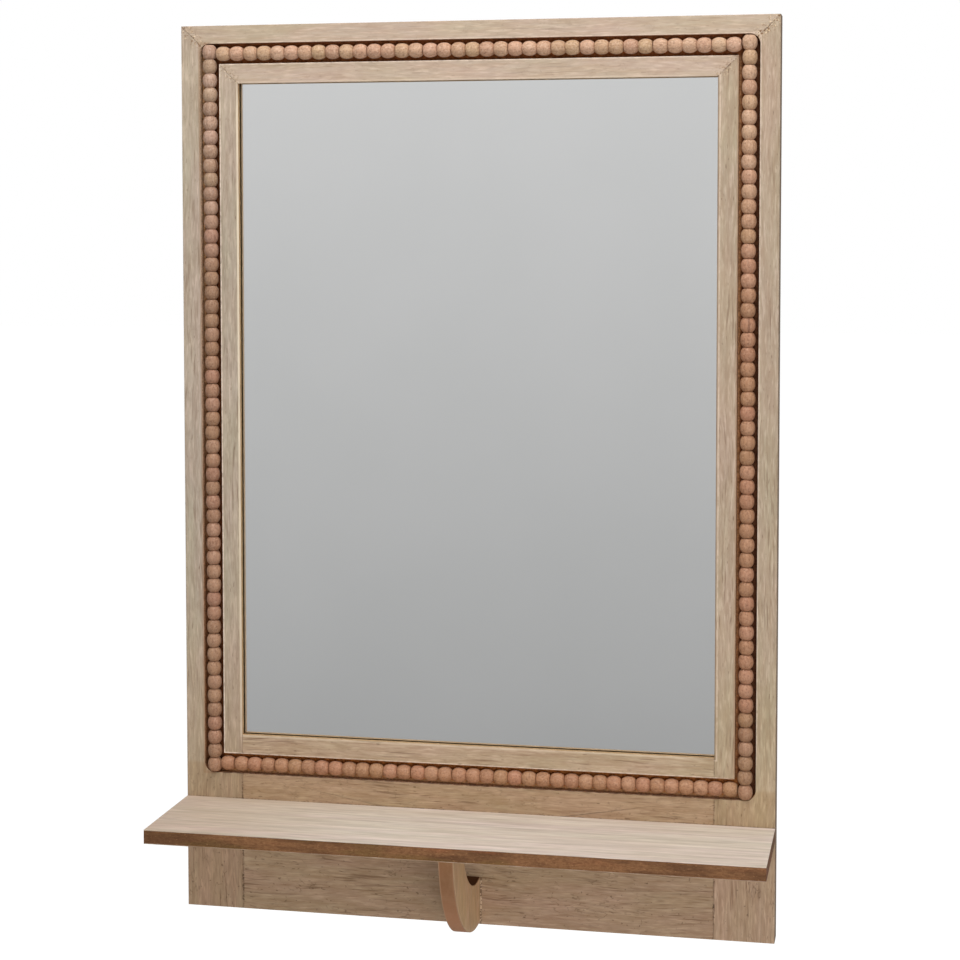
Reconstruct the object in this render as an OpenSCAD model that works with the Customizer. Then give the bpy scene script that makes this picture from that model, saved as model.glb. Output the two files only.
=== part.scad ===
// Wall mirror with a shelf: a veneered frame with a row of beads let into a routed groove,
// a mirror pane held in a rebate, and a veneered shelf on one arched bracket.
// Sizes are in millimetres. X runs across the frame and Z is up. The wall is the plane Y = 0,
// the room is on the -Y side, and the origin is under the middle of the frame's bottom edge.

/* [Frame] */
// Overall width of the frame, and length of the shelf
frame_w = 500; // [430:1:700]
// Overall height of the frame
frame_h = 750; // [650:1:1000]
// Thickness of the frame's boards
frame_t = 20; // [19:0.5:26]
// Thickness of the veneer on the frame, the shelf and the bracket
veneer_t = 0.6; // [0.4:0.1:1]
// Width of each stile
stile_w = 49.5; // [47:0.5:65]
// Height of the top rail
top_rail_h = 48.5; // [46:0.5:65]
// Height of the bottom rail
bottom_rail_h = 150; // [140:1:200]
// Thickness of the lip that the mirror rests against
lip_t = 4.5; // [3:0.5:6]
// How far the rebate reaches behind the lip
rebate_w = 8; // [6:0.5:9]

/* [Bead groove] */
// Width of the routed groove, and diameter of the router bit
groove_w = 17; // [14.5:0.5:17.5]
// Depth of the groove
groove_depth = 8; // [6.5:0.1:8.5]
// Width of the land between the groove and the mirror opening
land_w = 16.5; // [15:0.5:18]

/* [Beads] */
// Diameter of a bead
bead_d = 12.4; // [10:0.1:14]
// Length of a bead between its flat ends
bead_l = 11.8; // [9.5:0.1:12]
// Diameter of the string that the beads are threaded on
string_d = 2; // [1:0.1:3]
// Radial room round the string in the hole through a bead
string_room = 0.02; // [0.01:0.01:0.1]
// Room left at each end of an upright row of beads
row_end_gap = 1; // [0.5:0.1:3]
// Room left between a level row and the corner beads
row_side_gap = 0.1; // [0.05:0.05:1]

/* [Mirror] */
// Thickness of the mirror pane
glass_t = 3; // [2:0.5:4]
// Thickness of the hardboard back
back_t = 3; // [2:0.5:4]
// Gap round the pane and the back inside the rebate
pane_gap = 1; // [0.5:0.1:2]
// Width of a glazing point
point_w = 9; // [6:0.5:12]
// How far a glazing point reaches over the back
point_reach = 7; // [5:0.5:10]
// How far a glazing point is driven into the wood
point_bite = 5.5; // [3:0.5:6]
// Sheet thickness of a glazing point
point_t = 0.6; // [0.4:0.1:1]
// Longest spacing of the glazing points
point_pitch = 170; // [100:5:250]

/* [Shelf] */
// Depth of the shelf in front of the frame
shelf_d = 105; // [90:1:120]
// Overall thickness of the shelf
shelf_t = 11.5; // [9:0.5:16]
// Height of the shelf's top face above the frame's bottom edge
shelf_top_z = 95; // [85:1:105]
// Spacing of the screws that hold the shelf
shelf_screw_pitch = 110; // [90:1:115]

/* [Bracket] */
// Overall thickness of the bracket
bracket_t = 12; // [10:0.5:16]
// Depth of the curved band, between its two concentric arcs
bracket_band = 37; // [32:0.5:42]
// Radius of the bracket's outer curve
bracket_r = 94.5; // [88:0.5:110]
// Height of the bracket's foot above the frame's bottom edge
bracket_foot_z = 2.5; // [1:0.5:8]
// Distance of a bracket screw from the edge of the band
bracket_screw_edge = 10; // [7:0.5:14]
// Diameter of the dowels between the bracket and the shelf
bracket_dowel_d = 5; // [4:0.5:6]
// How deep these dowels go into the shelf
bracket_dowel_up = 6; // [4:0.5:7]
// How deep these dowels go into the bracket
bracket_dowel_down = 10; // [6:0.5:14]
// Distance of a dowel from the end of the band
bracket_dowel_edge = 9; // [7:0.5:12]

/* [Joints and screws] */
// Diameter of the dowels between the bottom rail and the stiles
rail_dowel_d = 8; // [6:1:9]
// Length of these dowels
rail_dowel_l = 40; // [30:1:50]
// Distance of a rail dowel from the rail's bottom edge and from the groove
rail_dowel_edge = 20; // [14:1:30]
// Length of one leg of a mitre nail
nail_leg = 6; // [4:0.5:7]
// Sheet thickness of a mitre nail
nail_t = 0.8; // [0.6:0.1:1.2]
// How deep a mitre nail is pressed into the back
nail_depth = 10; // [6:0.5:10.5]
// Distance of the first mitre nail from the frame's corner, and of the second from the first
nail_pitch = 14; // [11:0.5:15]
// Diameter of the wood screws
screw_d = 3.5; // [3:0.5:4]
// Length of the wood screws
screw_l = 45; // [35:1:50]
// Diameter of a wood screw's countersunk head
screw_head_d = 7; // [6:0.5:8]
// Radial room round a screw where it passes through the rail
screw_room = 0.25; // [0.1:0.05:0.5]

/* [Hangers] */
// Width of a keyhole hanger plate
hanger_w = 16; // [15:0.5:18]
// Length of a keyhole hanger plate
hanger_l = 46; // [44:1:60]
// Sheet thickness of a hanger plate
hanger_t = 2; // [1.5:0.1:2.5]
// Diameter of the keyhole's round opening, where the head of a wall screw enters
keyhole_d = 10; // [8:0.5:11]
// Width of the keyhole's slot, where the shank of the wall screw hangs
keyhole_slot_w = 5; // [4:0.5:5.5]
// Height from the middle of the opening to the end of the shank's travel
keyhole_rise = 9; // [8:0.5:12]
// Distance from the frame's top edge down to the hanging wall screw
hanger_top_gap = 90; // [70:1:200]
// Depth of the pocket behind a hanger plate
pocket_depth = 7; // [5:0.5:7.5]
// Spacing of the two screws in a hanger plate
hanger_screw_pitch = 34; // [32:1:38]
// Diameter of a hanger screw
hanger_screw_d = 3; // [2.5:0.5:3.5]
// Length of a hanger screw
hanger_screw_l = 10; // [8:0.5:10.5]
// Diameter of a hanger screw's countersunk head
hanger_screw_head_d = 6; // [5:0.5:7]

/* [Hidden] */
$fn = 48;

// Extra length of a cutting shape past the face that it opens
past = 1;
// Empty room left past the tip of a dowel
dowel_relief = 1;
// Side room round a hanger plate in its recess
hanger_fit = 0.2;
// Width and depth of the cross recess in a screw head, as shares of the head's diameter
recess_w_share = 0.13;
recess_l_share = 0.55;
recess_depth_share = 0.2;
// Diameter of the sphere that rounds the ends of a bead, as a share of the bead's diameter
bead_round_share = 1.08;

// The fibreboard of the frame, without its front veneer
core_t = frame_t - veneer_t;

// The mirror opening
half_w = frame_w / 2;
sight_x = half_w - stile_w;
sight_low = bottom_rail_h;
sight_high = frame_h - top_rail_h;

// The groove's inner and outer edges
groove_in_x = sight_x + land_w;
groove_out_x = groove_in_x + groove_w;
groove_in_low = sight_low - land_w;
groove_out_low = groove_in_low - groove_w;
groove_in_high = sight_high + land_w;
groove_out_high = groove_in_high + groove_w;
groove_mid_x = (groove_in_x + groove_out_x) / 2;
groove_mid_low = (groove_in_low + groove_out_low) / 2;
groove_mid_high = (groove_in_high + groove_out_high) / 2;

// The bead rows. The upright rows fill the groove's full height, and the level rows lie between.
bead_y = -frame_t + groove_depth - bead_d / 2;
upright_run = groove_out_high - groove_out_low - 2 * row_end_gap;
upright_count = floor(upright_run / bead_l);
level_run = 2 * groove_mid_x - bead_d - 2 * row_side_gap;
level_count = floor(level_run / bead_l);

// The rebate and what lies in it
rebate_x = sight_x + rebate_w;
rebate_low = sight_low - rebate_w;
rebate_high = sight_high + rebate_w;
rebate_depth = frame_t - lip_t;
back_y = -rebate_depth + glass_t + back_t;

// The shelf
shelf_under_z = shelf_top_z - shelf_t;
shelf_screw_z = shelf_top_z - shelf_t / 2;

// The bracket's side outline, in (distance from the frame, height above the shelf's underside).
// The outer arc runs from the shelf's front edge to the foot on the frame.
bracket_drop = shelf_under_z - bracket_foot_z;
chord = norm([shelf_d, bracket_drop]);
chord_to_centre = sqrt(bracket_r * bracket_r - chord * chord / 4);
arc_out = shelf_d / 2 - chord_to_centre * bracket_drop / chord;
arc_up = -bracket_drop / 2 + chord_to_centre * shelf_d / chord;
inner_r = bracket_r - bracket_band;
// Where the inner arc meets the shelf and the frame
band_top_out = arc_out + sqrt(inner_r * inner_r - arc_up * arc_up);
band_foot_z = shelf_under_z + arc_up - sqrt(inner_r * inner_r - arc_out * arc_out);
bracket_screw_low = bracket_foot_z + bracket_screw_edge;
bracket_screw_high = band_foot_z - bracket_screw_edge;

// The hangers stand in the middle of the stile's back, beside the rebate
hanger_x = half_w - (stile_w - rebate_w) / 2;
hang_z = frame_h - hanger_top_gap;
keyhole_z = hang_z - keyhole_rise;
hanger_mid_z = (hang_z + keyhole_slot_w / 2 + keyhole_z - keyhole_d / 2) / 2;

function row_step(run, count) = run / count;
function spread(length, pitch) = ceil(length / pitch);

// ---- shared shapes ----

// A flat shape drawn in X and Z, given its thickness towards the room from the plane Y = back
module board(back, thick) {
    translate([0, back, 0])
        rotate([90, 0, 0])
            linear_extrude(height = thick)
                children();
}

// A flat shape drawn in distance from the frame and Z, given its thickness along X
module side_board(left, thick) {
    translate([left, -frame_t, 0])
        rotate([90, 0, -90])
            mirror([0, 0, 1])
                linear_extrude(height = thick)
                    children();
}

// A rectangle in X and Z, symmetrical about X = 0
module opening(half, low, high) {
    translate([-half, low])
        square([2 * half, high - low]);
}

// An upright slot outline with round ends
module slot_outline(w, length) {
    square([w, length - w], center = true);
    for (end = [-1, 1])
        translate([0, end * (length - w) / 2])
            circle(d = w);
}

// A countersunk screw, driven from its head at Y = 0 towards the room
module screw_body(d, head_d, length) {
    head_h = (head_d - d) / 2;
    rotate([90, 0, 0])
        rotate_extrude()
            polygon([
                [0, 0],
                [head_d / 2, 0],
                [d / 2, head_h],
                [d / 2, length - d],
                [0, length]
            ]);
}

module screw(d, head_d, length) {
    difference() {
        screw_body(d, head_d, length);
        for (turn = [0, 90])
            rotate([0, turn, 0])
                cube([head_d * recess_l_share, 2 * head_d * recess_depth_share, head_d * recess_w_share],
                    center = true);
    }
}

// ---- cuts that the frame's members share ----

// The routed groove: its outer corners keep the radius of the bit, its inner ones are square
module groove_cut() {
    bit_r = groove_w / 2;
    board(-frame_t + groove_depth, groove_depth + past)
        difference() {
            union() {
                opening(groove_out_x - bit_r, groove_out_low, groove_out_high);
                opening(groove_out_x, groove_out_low + bit_r, groove_out_high - bit_r);
                for (x = [-1, 1])
                    for (z = [groove_out_low + bit_r, groove_out_high - bit_r])
                        translate([x * (groove_out_x - bit_r), z])
                            circle(r = bit_r);
            }
            opening(groove_in_x, groove_in_low, groove_in_high);
        }
}

module rebate_cut() {
    board(past, rebate_depth + past)
        opening(rebate_x, rebate_low, rebate_high);
}

// Dowels between the bottom rail and the stiles, or with relief the holes for them
module rail_dowel_set(relief) {
    for (side = [-1, 1])
        for (z = [rail_dowel_edge, groove_out_low - rail_dowel_edge])
            translate([side * sight_x, -frame_t / 2, z])
                rotate([0, 90, 0])
                    cylinder(d = rail_dowel_d, h = rail_dowel_l + 2 * relief, center = true);
}

// The folded steel nails that tie the mitres: one leg runs into the stile, one into the top rail
module mitre_nail_set() {
    mitre = [stile_w, -top_rail_h] / norm([stile_w, top_rail_h]);
    board(0, nail_depth)
        for (side = [0, 1])
            mirror([side, 0])
                for (i = [1, 2])
                    translate([-half_w, frame_h] + i * nail_pitch * mitre)
                        union() {
                            translate([0, -nail_t])
                                square([nail_leg, nail_t]);
                            translate([0, -nail_leg])
                                square([nail_t, nail_leg]);
                        }
}

// One glazing point seen from behind: a square tab that tapers to its tip in the wood
module point_outline() {
    polygon([
        [-point_w / 2, -point_reach],
        [point_w / 2, -point_reach],
        [point_w / 2, 0],
        [0, point_bite],
        [-point_w / 2, 0]
    ]);
}

module point_row(length) {
    count = spread(length, point_pitch);
    for (i = [0 : count - 1])
        translate([(i + 0.5) * length / count - length / 2, 0])
            point_outline();
}

module glazing_point_set() {
    mid_z = (rebate_low + rebate_high) / 2;
    board(back_y + point_t, point_t) {
        translate([0, rebate_high])
            point_row(2 * rebate_x);
        translate([0, rebate_low])
            rotate(180)
                point_row(2 * rebate_x);
        translate([-rebate_x, mid_z])
            rotate(90)
                point_row(rebate_high - rebate_low);
        translate([rebate_x, mid_z])
            rotate(-90)
                point_row(rebate_high - rebate_low);
    }
}

module hanger_screw_places() {
    for (end = [-1, 1])
        translate([hanger_x, 0, hanger_mid_z + end * hanger_screw_pitch / 2])
            children();
}

// Recess, pocket and screw holes for the hanger plate on the stile at +X
module hanger_cut() {
    board(past, hanger_t + past)
        translate([hanger_x, hanger_mid_z])
            slot_outline(hanger_w + 2 * hanger_fit, hanger_l + 2 * hanger_fit);
    board(0, hanger_t + pocket_depth)
        translate([hanger_x, (keyhole_z + hang_z) / 2])
            slot_outline(keyhole_d + 2 * hanger_fit, keyhole_rise + keyhole_d + 2 * hanger_fit);
    hanger_screw_places()
        screw_body(hanger_screw_d, hanger_screw_head_d, hanger_screw_l);
}

// ---- frame ----

module stile_outline() {
    polygon([
        [half_w, 0],
        [half_w, frame_h],
        [sight_x, sight_high],
        [sight_x, 0]
    ]);
}

module top_rail_outline() {
    polygon([
        [-half_w, frame_h],
        [half_w, frame_h],
        [sight_x, sight_high],
        [-sight_x, sight_high]
    ]);
}

module bottom_rail_outline() {
    opening(sight_x, 0, bottom_rail_h);
}

// The veneer on the front of a frame member, cut through along the groove
module front_veneer() {
    difference() {
        board(-core_t, veneer_t)
            children();
        groove_cut();
    }
}

module stile() {
    difference() {
        board(0, core_t)
            stile_outline();
        groove_cut();
        rebate_cut();
        rail_dowel_set(dowel_relief);
        mitre_nail_set();
        glazing_point_set();
        hanger_cut();
    }
}

module left_stile() {
    color("#74462a")
        mirror([1, 0, 0])
            stile();
}

module right_stile() {
    color("#74462a")
        stile();
}

module left_stile_veneer() {
    color("#bda584")
        mirror([1, 0, 0])
            front_veneer()
                stile_outline();
}

module right_stile_veneer() {
    color("#bda584")
        front_veneer()
            stile_outline();
}

module top_rail() {
    color("#74462a")
        difference() {
            board(0, core_t)
                top_rail_outline();
            groove_cut();
            rebate_cut();
            mitre_nail_set();
            glazing_point_set();
        }
}

module top_rail_veneer() {
    color("#c4ab8c")
        front_veneer()
            top_rail_outline();
}

// Clearance hole and countersink for a screw through the bottom rail
module rail_screw_hole() {
    screw_body(screw_d, screw_head_d, frame_t);
    rotate([90, 0, 0])
        cylinder(d = screw_d + 2 * screw_room, h = frame_t + past);
}

module rail_screw_holes() {
    shelf_screw_places()
        rail_screw_hole();
    bracket_screw_places()
        rail_screw_hole();
}

module bottom_rail() {
    color("#74462a")
        difference() {
            board(0, core_t)
                bottom_rail_outline();
            groove_cut();
            rebate_cut();
            rail_dowel_set(dowel_relief);
            glazing_point_set();
            rail_screw_holes();
        }
}

module bottom_rail_veneer() {
    color("#b39a7b")
        difference() {
            front_veneer()
                bottom_rail_outline();
            rail_screw_holes();
        }
}

module rail_dowels() {
    color("#c9ab7c")
        rail_dowel_set(0);
}

module mitre_nails() {
    color("#8c8f92")
        mitre_nail_set();
}

// ---- beads ----

// A turned bead, drilled along Z: a short barrel with rounded ends and a small flat round the hole
module bead() {
    difference() {
        intersection() {
            sphere(d = bead_d * bead_round_share);
            cylinder(d = bead_d, h = bead_l, center = true);
        }
        cylinder(d = string_d + 2 * string_room, h = bead_l + 2 * past, center = true);
    }
}

// A row of beads along Z, centred on the origin
module bead_row(run, count) {
    step = row_step(run, count);
    for (i = [0 : count - 1])
        translate([0, 0, (i + 0.5) * step - run / 2])
            bead();
}

module upright_place(side) {
    translate([side * groove_mid_x, bead_y, (groove_out_low + groove_out_high) / 2])
        children();
}

module level_place(z) {
    translate([0, bead_y, z])
        rotate([0, 90, 0])
            children();
}

module beads_left() {
    color("#b68a68")
        upright_place(-1)
            bead_row(upright_run, upright_count);
}

module beads_right() {
    color("#b68a68")
        upright_place(1)
            bead_row(upright_run, upright_count);
}

module beads_top() {
    color("#b98e6c")
        level_place(groove_mid_high)
            bead_row(level_run, level_count);
}

module beads_bottom() {
    color("#ab7f60")
        level_place(groove_mid_low)
            bead_row(level_run, level_count);
}

module string_along(run) {
    color("#6e5336")
        cylinder(d = string_d, h = run, center = true);
}

module string_left() {
    upright_place(-1)
        string_along(upright_run);
}

module string_right() {
    upright_place(1)
        string_along(upright_run);
}

module string_top() {
    level_place(groove_mid_high)
        string_along(level_run);
}

module string_bottom() {
    level_place(groove_mid_low)
        string_along(level_run);
}

// ---- mirror ----

module pane(back, thick) {
    board(back, thick)
        opening(rebate_x - pane_gap, rebate_low + pane_gap, rebate_high - pane_gap);
}

module mirror_glass() {
    color("#b9bcbc")
        pane(-rebate_depth + glass_t, glass_t);
}

module back_panel() {
    color("#6f4f35")
        pane(back_y, back_t);
}

module glazing_points() {
    color("#9a9c9e")
        glazing_point_set();
}

// ---- shelf ----

module shelf_layer(low, high) {
    translate([-half_w, -frame_t - shelf_d, low])
        cube([frame_w, shelf_d, high - low]);
}

module shelf_screw_places() {
    for (i = [-1.5, -0.5, 0.5, 1.5])
        translate([i * shelf_screw_pitch, 0, shelf_screw_z])
            children();
}

module bracket_dowel_set() {
    for (out = [band_top_out + bracket_dowel_edge, shelf_d - bracket_dowel_edge])
        translate([0, -frame_t - out, shelf_under_z - bracket_dowel_down])
            cylinder(d = bracket_dowel_d, h = bracket_dowel_down + bracket_dowel_up);
}

module shelf_core() {
    color("#74462a")
        difference() {
            shelf_layer(shelf_under_z + veneer_t, shelf_top_z - veneer_t);
            shelf_screws();
            bracket_dowel_set();
        }
}

module shelf_top_veneer() {
    color("#c8b193")
        shelf_layer(shelf_top_z - veneer_t, shelf_top_z);
}

module shelf_bottom_veneer() {
    color("#b39a7b")
        difference() {
            shelf_layer(shelf_under_z, shelf_under_z + veneer_t);
            bracket_dowel_set();
        }
}

module shelf_screws() {
    color("#c4a84e")
        shelf_screw_places()
            screw(screw_d, screw_head_d, screw_l);
}

// ---- bracket ----

// The curved band under the shelf: two concentric arcs, cut off by the shelf and the frame
module bracket_outline() {
    intersection() {
        translate([0, bracket_foot_z - past])
            square([shelf_d, bracket_drop + past]);
        translate([arc_out, shelf_under_z + arc_up])
            difference() {
                circle(r = bracket_r);
                circle(r = inner_r);
            }
    }
}

module bracket_core() {
    color("#7d4f31")
        difference() {
            side_board(-bracket_t / 2 + veneer_t, bracket_t - 2 * veneer_t)
                bracket_outline();
            bracket_screws();
            bracket_dowel_set();
        }
}

module bracket_left_veneer() {
    color("#a98d6c")
        side_board(-bracket_t / 2, veneer_t)
            bracket_outline();
}

module bracket_right_veneer() {
    color("#a98d6c")
        side_board(bracket_t / 2 - veneer_t, veneer_t)
            bracket_outline();
}

module bracket_screw_places() {
    for (z = [bracket_screw_low, bracket_screw_high])
        translate([0, 0, z])
            children();
}

module bracket_screws() {
    color("#c4a84e")
        bracket_screw_places()
            screw(screw_d, screw_head_d, screw_l);
}

module bracket_dowels() {
    color("#c9ab7c")
        bracket_dowel_set();
}

// ---- hangers ----

module hanger_plate() {
    difference() {
        board(0, hanger_t)
            difference() {
                translate([hanger_x, hanger_mid_z])
                    slot_outline(hanger_w, hanger_l);
                translate([hanger_x, keyhole_z])
                    circle(d = keyhole_d);
                translate([hanger_x, (keyhole_z + hang_z) / 2])
                    slot_outline(keyhole_slot_w, keyhole_rise + keyhole_slot_w);
            }
        hanger_screw_places()
            screw_body(hanger_screw_d, hanger_screw_head_d, hanger_screw_l);
    }
}

module left_hanger_plate() {
    color("#b8babd")
        mirror([1, 0, 0])
            hanger_plate();
}

module right_hanger_plate() {
    color("#b8babd")
        hanger_plate();
}

module hanger_screws() {
    color("#a7a9ac")
        for (side = [0, 1])
            mirror([side, 0, 0])
                hanger_screw_places()
                    screw(hanger_screw_d, hanger_screw_head_d, hanger_screw_l);
}

left_stile();
right_stile();
top_rail();
bottom_rail();
left_stile_veneer();
right_stile_veneer();
top_rail_veneer();
bottom_rail_veneer();
rail_dowels();
mitre_nails();
beads_left();
beads_right();
beads_top();
beads_bottom();
string_left();
string_right();
string_top();
string_bottom();
mirror_glass();
back_panel();
glazing_points();
shelf_core();
shelf_top_veneer();
shelf_bottom_veneer();
shelf_screws();
bracket_core();
bracket_left_veneer();
bracket_right_veneer();
bracket_screws();
bracket_dowels();
left_hanger_plate();
right_hanger_plate();
hanger_screws();
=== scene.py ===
"""Looks of the wall mirror with a shelf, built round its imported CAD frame. Metres, in the row's frame."""

import math
import random

import bpy
from mathutils import Euler, Matrix, Vector


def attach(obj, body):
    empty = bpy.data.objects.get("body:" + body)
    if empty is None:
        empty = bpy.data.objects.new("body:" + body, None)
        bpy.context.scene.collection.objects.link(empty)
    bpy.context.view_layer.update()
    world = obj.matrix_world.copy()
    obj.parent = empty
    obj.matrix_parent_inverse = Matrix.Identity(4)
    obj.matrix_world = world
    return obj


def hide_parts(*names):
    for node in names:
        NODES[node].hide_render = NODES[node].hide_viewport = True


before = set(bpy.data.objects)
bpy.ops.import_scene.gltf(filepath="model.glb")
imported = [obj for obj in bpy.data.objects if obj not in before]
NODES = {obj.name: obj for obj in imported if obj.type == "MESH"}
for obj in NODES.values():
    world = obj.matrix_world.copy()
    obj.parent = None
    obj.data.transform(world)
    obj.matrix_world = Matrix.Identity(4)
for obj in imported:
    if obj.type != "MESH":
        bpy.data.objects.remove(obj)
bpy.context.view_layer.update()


# ---- sizes in metres, worked out from the CAD nodes ----

def box(node):
    """The lowest and the highest corner of a CAD node."""
    corners = [Vector(corner) for corner in NODES[node].bound_box]
    low = Vector([min(corner[i] for corner in corners) for i in range(3)])
    high = Vector([max(corner[i] for corner in corners) for i in range(3)])
    return low, high


def middle(node):
    low, high = box(node)
    return (low + high) / 2


def extent(node):
    low, high = box(node)
    return high - low


HALF_W = box("right_stile")[1].x
TOP = box("top_rail")[1].z
FRONT_Y = box("left_stile_veneer")[0].y
SHELF_TOP = box("shelf_top_veneer")[1].z

# The mirror opening, which the sight line runs round
SIGHT_X = -box("left_stile_veneer")[1].x
SIGHT_LOW = box("bottom_rail_veneer")[1].z
SIGHT_HIGH = box("top_rail_veneer")[0].z

# Each string is as long as its row. No box shows the length of a single bead
BEAD_Y = middle("beads_left").y
BEAD_R = extent("beads_left").x / 2
BEAD_L = 0.0118
UPRIGHT_RUN, UPRIGHT_COUNT = extent("string_left").z, 52
LEVEL_RUN, LEVEL_COUNT = extent("string_top").x, 37

# The beads stand in the middle of the groove and touch its floor. No box shows how wide it is
GROOVE_MID_X = middle("beads_right").x
GROOVE_MID_LOW = middle("beads_bottom").z
GROOVE_MID_HIGH = middle("beads_top").z
GROOVE_FLOOR_Y = BEAD_Y + BEAD_R
GROOVE_HALF = 0.0085
GROOVE_IN_X = GROOVE_MID_X - GROOVE_HALF
GROOVE_OUT_X = GROOVE_MID_X + GROOVE_HALF
GROOVE_BOTTOM = GROOVE_MID_LOW - GROOVE_HALF

# The bracket is a band of this depth inside an arc, given by its centre and radius. The band lies on the
# frame up to the arch's foot
BRACKET_HALF = box("bracket_right_veneer")[1].x
ARC_Y, ARC_Z, ARC_R = -0.0314, 0.0963, 0.0945
BAND_DEPTH = 0.037
ARCH_FOOT = 0.040


# ---- helpers ----

def srgb(r, g, b):
    """A colour as seen on a screen, 0 to 255, as the linear colour that a shader takes."""
    linear = []
    for value in (r, g, b):
        c = value / 255
        linear.append(c / 12.92 if c <= 0.04045 else ((c + 0.055) / 1.055) ** 2.4)
    return (*linear, 1.0)


def add_object(name, data):
    made = bpy.data.objects.new(name, data)
    bpy.context.scene.collection.objects.link(made)
    return made


def four_sided(name, corners, material):
    """A flat object with one face, and the material on it."""
    mesh = bpy.data.meshes.new(name)
    mesh.from_pydata(corners, [], [(0, 1, 2, 3)])
    mesh.materials.append(material)
    return add_object(name, mesh)


class Tree:
    """The node tree of a material or of the world, called t below. Each call adds a node and returns the
    socket that carries its result."""

    def __init__(self, name, owners=bpy.data.materials):
        self.owner = owners.new(name)
        self.owner.use_nodes = True
        self.nodes = self.owner.node_tree.nodes
        self.links = self.owner.node_tree.links
        self.nodes.clear()

    def add(self, kind, inputs, out=0, **settings):
        """inputs go by name or number and hold a value or a socket. settings are the node's own."""
        node = self.nodes.new(kind)
        for name, value in settings.items():
            setattr(node, name, value)
        for key, value in inputs.items():
            if isinstance(value, bpy.types.NodeSocket):
                self.links.new(value, node.inputs[key])
            else:
                node.inputs[key].default_value = value
        return node.outputs[out] if node.outputs else node

    def place(self):
        return self.add("ShaderNodeTexCoord", {}, out="Object")

    def attribute(self, name, out="Vector"):
        return self.add("ShaderNodeAttribute", {}, out=out, attribute_name=name)

    def ray(self, kind):
        return self.add("ShaderNodeLightPath", {}, out=kind)

    def mirror_ray(self):
        """1 for what shows in the mirror, which is met through its glass."""
        return self.math("MAXIMUM", self.ray("Is Glossy Ray"), self.ray("Is Transmission Ray"))

    def mapped(self, at, scale=(1, 1, 1), shift=(0, 0, 0), turn=(0, 0, 0)):
        values = {"Vector": at, "Scale": scale, "Location": shift, "Rotation": turn}
        return self.add("ShaderNodeMapping", values)

    def noise(self, at, scale, detail=2.0, rough=0.5, distortion=0.0, out="Fac"):
        values = {"Vector": at, "Scale": scale, "Detail": detail, "Roughness": rough,
                  "Distortion": distortion}
        return self.add("ShaderNodeTexNoise", values, out=out)

    def math(self, operation, a, b=0.0, clamp=False):
        return self.add("ShaderNodeMath", {0: a, 1: b}, operation=operation, use_clamp=clamp)

    def product(self, first, *others):
        for other in others:
            first = self.math("MULTIPLY", first, other)
        return first

    def vector(self, operation, a, b):
        return self.add("ShaderNodeVectorMath", {0: a, 1: b}, operation=operation)

    def part(self, at, axis):
        return self.add("ShaderNodeSeparateXYZ", {0: at}, out=axis)

    def step(self, value, low, high, to_low=0.0, to_high=1.0):
        """A smooth step: to_low where value is below low, to_high above high."""
        values = {"Value": value, "From Min": low, "From Max": high, "To Min": to_low, "To Max": to_high}
        return self.add("ShaderNodeMapRange", values, interpolation_type="SMOOTHSTEP")

    def near(self, value, centre, half, soft):
        """1 where value lies within half of centre, fading to 0 over soft."""
        away = self.math("ABSOLUTE", self.math("SUBTRACT", value, centre))
        return self.step(away, half, half + soft, 1.0, 0.0)

    def number(self, amount, a, b):
        """The number a where amount is 0 and b where it is 1."""
        return self.add("ShaderNodeMix", {0: amount, 2: a, 3: b}, data_type="FLOAT")

    def blend(self, amount, a, b, kind="MIX"):
        """The colour a where amount is 0 and b, or a times b, where it is 1."""
        return self.add("ShaderNodeMix", {0: amount, 6: a, 7: b}, out=2, data_type="RGBA", blend_type=kind)

    def tinted(self, colour, factors, amount=1.0):
        """The colour with its red, green and blue times the factors, as far as amount says."""
        return self.blend(amount, colour, (*factors, 1), "MULTIPLY")

    def bump(self, height, distance, strength=1.0, normal=None):
        values = {"Height": height, "Distance": distance, "Strength": strength}
        if normal is not None:
            values["Normal"] = normal
        return self.add("ShaderNodeBump", values)

    def soft_arris(self, radius):
        """A normal that rounds the arrises of the piece itself by radius."""
        return self.add("ShaderNodeBevel", {"Radius": radius}, samples=6)

    def finish(self, **values):
        """The surface shader. Names with _ for a space, such as Base_Color."""
        inputs = {name.replace("_", " "): value for name, value in values.items()}
        shader = self.add("ShaderNodeBsdfPrincipled", inputs, out="BSDF")
        self.add("ShaderNodeOutputMaterial", {"Surface": shader})
        return self.owner


def drawn_out(along, factor):
    """A texture scale with the factor along one axis, 0 to 2. Below 1 it draws the pattern out that way."""
    scale = [1.0, 1.0, 1.0]
    scale[along] = factor
    return scale


def ring(t, place, half_x, low, high):
    """How far a point lies outside an upright rectangle centred on X = 0, and below 0 inside it."""
    x = t.math("SUBTRACT", t.math("ABSOLUTE", t.part(place, "X")), half_x)
    z = t.math("ABSOLUTE", t.math("SUBTRACT", t.part(place, "Z"), (low + high) / 2))
    return t.math("MAXIMUM", x, t.math("SUBTRACT", z, (high - low) / 2))


def sight_ring(t, place):
    return ring(t, place, SIGHT_X, SIGHT_LOW, SIGHT_HIGH)


def groove_ring(t, place, outwards):
    """The ring along the groove's middle line, moved outwards by so much."""
    return ring(t, place, GROOVE_MID_X + outwards, GROOVE_MID_LOW - outwards, GROOVE_MID_HIGH + outwards)


def arc_radius(t, place):
    """How far a point lies from the axis of the bracket's curves."""
    out = t.math("SUBTRACT", t.part(place, "Y"), ARC_Y)
    up = t.math("SUBTRACT", t.part(place, "Z"), ARC_Z)
    return t.math("SQRT", t.math("ADD", t.product(out, out), t.product(up, up)))


# ---- what shows on the frame's veneer ----

# Pale of rubbed arrises with a painted highlight, and brown painted shade on arrises
PALE_RUB_AND_HIGHLIGHT = srgb(232, 212, 192)
ARRIS_SHADE = srgb(146, 106, 72)
# Dark brown for painted contact shade, and for the dark specks beside the bracket
DIRT_AND_SHADE = srgb(84, 58, 38)

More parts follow.
